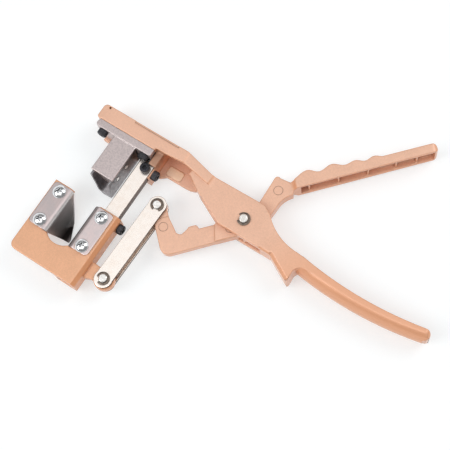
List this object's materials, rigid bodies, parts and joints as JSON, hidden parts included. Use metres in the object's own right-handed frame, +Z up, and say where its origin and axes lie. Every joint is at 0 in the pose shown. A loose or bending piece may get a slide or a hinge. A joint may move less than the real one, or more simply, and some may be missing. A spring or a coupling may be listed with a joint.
{
  "type": "v-cut grafting cutter",
  "caption": "Squeeze-handle grafting cutter: a lever and link slide a notched anvil along a flat bar up to a fixed V-shaped blade.",
  "frame": {"origin": "middle of the tool's footprint on the table, with the tool on its back", "axes": "+X along the head, from the jaw end to the end of the lower handle; +Y the way the anvil slides towards the blade; +Z up, along the pivot axis"},
  "size_m": [0.2744, 0.2134, 0.0232],
  "materials": {
    "painted_casting": "satin copper-coloured metallic paint on a die casting",
    "ground_steel": "ground steel, lightly stained",
    "blade_steel": "hardened sheet steel",
    "jaw_steel": "bent sheet steel, satin",
    "black_screw": "black oxide",
    "plated_steel": "warm nickel plate",
    "pin_steel": "polished pin steel",
    "clip_steel": "dark spring steel",
    "zinc_screw": "bright zinc plate",
    "bearing_bronze": "plain bearing bronze"
  },
  "bodies": {
    "frame": {"frame_casting": "painted_casting", "cutter_block": "ground_steel", "v_blade": "blade_steel", "blade_rivets": "blade_steel", "flange_screws": "black_screw", "guide_bar": "plated_steel", "bar_front_screw": "black_screw", "bar_side_screw": "black_screw", "pivot_pin": "pin_steel", "pivot_clips": "clip_steel"},
    "lever": {"lever_casting": "painted_casting", "pivot_bush": "bearing_bronze"},
    "anvil": {"anvil_bracket": "painted_casting", "left_jaw_plate": "jaw_steel", "right_jaw_plate": "jaw_steel", "jaw_screws": "zinc_screw", "gib_screw": "black_screw", "gib_pad": "bearing_bronze"},
    "link": {"front_link": "plated_steel", "rear_link": "plated_steel", "upper_link_pin": "pin_steel", "lower_link_pin": "pin_steel", "link_clips": "clip_steel"}
  },
  "joints": [
    {"name": "lever_hinge", "type": "hinge", "parent": "frame", "child": "lever", "pos_m": [-0.00824, -0.00671, 0.011], "axis": [0, 0, 1], "range_deg": [-31.5, 0]},
    {"name": "anvil_slide", "type": "slide", "parent": "frame", "child": "anvil", "axis": [0, 1, 0], "range_m": [0, 0.03298]},
    {"name": "link_hinge", "type": "hinge", "parent": "anvil", "child": "link", "pos_m": [-0.06674, -0.09105, 0.011], "axis": [0, 0, 1], "range_deg": [0, 2.78]}
  ],
  "couplings": [
    {"joint": "anvil_slide", "follows": "lever_hinge", "m_per_rad": -0.059982},
    {"joint": "link_hinge", "follows": "lever_hinge", "ratio": -0.088254}
  ]
}
